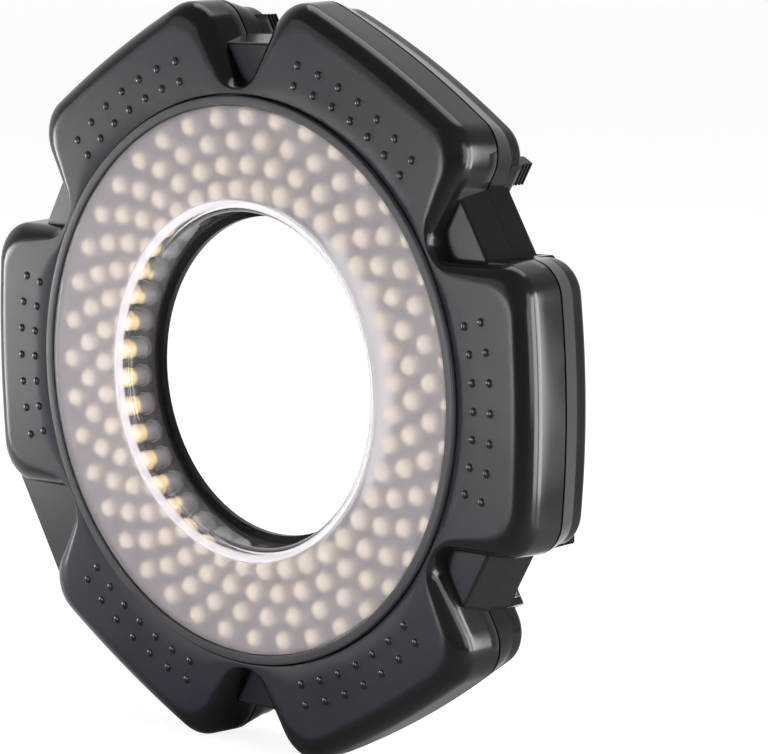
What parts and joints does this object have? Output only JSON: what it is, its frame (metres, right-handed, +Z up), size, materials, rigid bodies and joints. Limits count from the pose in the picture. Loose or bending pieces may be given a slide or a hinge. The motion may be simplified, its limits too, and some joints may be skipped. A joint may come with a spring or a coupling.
{
  "type": "macro ring light",
  "caption": "Lobed ring light for close-up photography: lamps behind a frosted annular diffuser, a battery under a hinged door in each lobe, and a rear socket for a lens adapter ring.",
  "frame": {"origin": "on the ring's axis, in the plane of the rear face, at the mouth of the adapter socket", "axes": "-Y out of the lit front face along the ring's axis, +Z up, +X to the right seen from the front"},
  "size_m": [0.1718, 0.0264, 0.1726],
  "materials": {
    "shell_black": "fine satin mould texture on the face, glossier walls",
    "bezel_grey": "satin",
    "frosted_plastic": "frosted acrylic plate, clearer at the tube",
    "board_black": "black solder mask",
    "board_green": "green solder mask",
    "lamp_epoxy": "clear epoxy over yellow phosphor",
    "cell_sleeve": "plain printed sleeve",
    "nickel_plate": "nickel-plated strip",
    "steel": "turned",
    "blackened_steel": "blackened",
    "component_black": "moulded",
    "knob_black": "fine mould texture"
  },
  "bodies": {
    "housing": {"front_shell": "shell_black", "bezel_ring": "bezel_grey", "diffuser": "frosted_plastic", "led_board": "board_black", "leds": "lamp_epoxy", "rear_shell": "shell_black", "aa_cells": "cell_sleeve", "plate_contacts": "nickel_plate", "leaf_contacts": "nickel_plate", "door_hinge_pins": "steel", "driver_board": "board_green", "driver_screws": "steel", "driver_chips": "component_black", "driver_capacitors": "component_black", "driver_coil": "component_black", "board_header": "component_black", "dimmer_potentiometer": "component_black", "switch_body": "component_black", "case_screws": "blackened_steel"},
    "door_1": {"battery_door_1": "shell_black"},
    "door_2": {"battery_door_2": "shell_black"},
    "door_3": {"battery_door_3": "shell_black"},
    "door_4": {"battery_door_4": "shell_black"},
    "door_5": {"battery_door_5": "shell_black"},
    "door_6": {"battery_door_6": "shell_black"},
    "dimmer": {"dimmer_shaft": "steel", "dimmer_knob": "knob_black"},
    "switch": {"switch_slider": "knob_black"}
  },
  "joints": [
    {"name": "door_1_hinge", "type": "hinge", "parent": "housing", "child": "door_1", "pos_m": [0.069, 0.005, 0.0303], "axis": [1, 0, 0], "range_deg": [0, 105]},
    {"name": "door_2_hinge", "type": "hinge", "parent": "housing", "child": "door_2", "pos_m": [0.00826, 0.005, 0.07491], "axis": [0.5, 0, 0.866], "range_deg": [0, 105]},
    {"name": "door_3_hinge", "type": "hinge", "parent": "housing", "child": "door_3", "pos_m": [-0.06074, 0.005, 0.04461], "axis": [-0.5, 0, 0.866], "range_deg": [0, 105]},
    {"name": "door_4_hinge", "type": "hinge", "parent": "housing", "child": "door_4", "pos_m": [-0.069, 0.005, -0.0303], "axis": [-1, 0, 0], "range_deg": [0, 105]},
    {"name": "door_5_hinge", "type": "hinge", "parent": "housing", "child": "door_5", "pos_m": [-0.00826, 0.005, -0.07491], "axis": [-0.5, 0, -0.866], "range_deg": [0, 105]},
    {"name": "door_6_hinge", "type": "hinge", "parent": "housing", "child": "door_6", "pos_m": [0.06074, 0.005, -0.04461], "axis": [0.5, 0, -0.866], "range_deg": [0, 105]},
    {"name": "dimmer_turn", "type": "hinge", "parent": "housing", "child": "dimmer", "pos_m": [0.0485, 0, -0.028], "axis": [0, -1, 0], "range_deg": [0, 300]},
    {"name": "switch_slide", "type": "slide", "parent": "housing", "child": "switch", "axis": [-0.5, 0, 0.866], "range_m": [0, 0.003]}
  ]
}
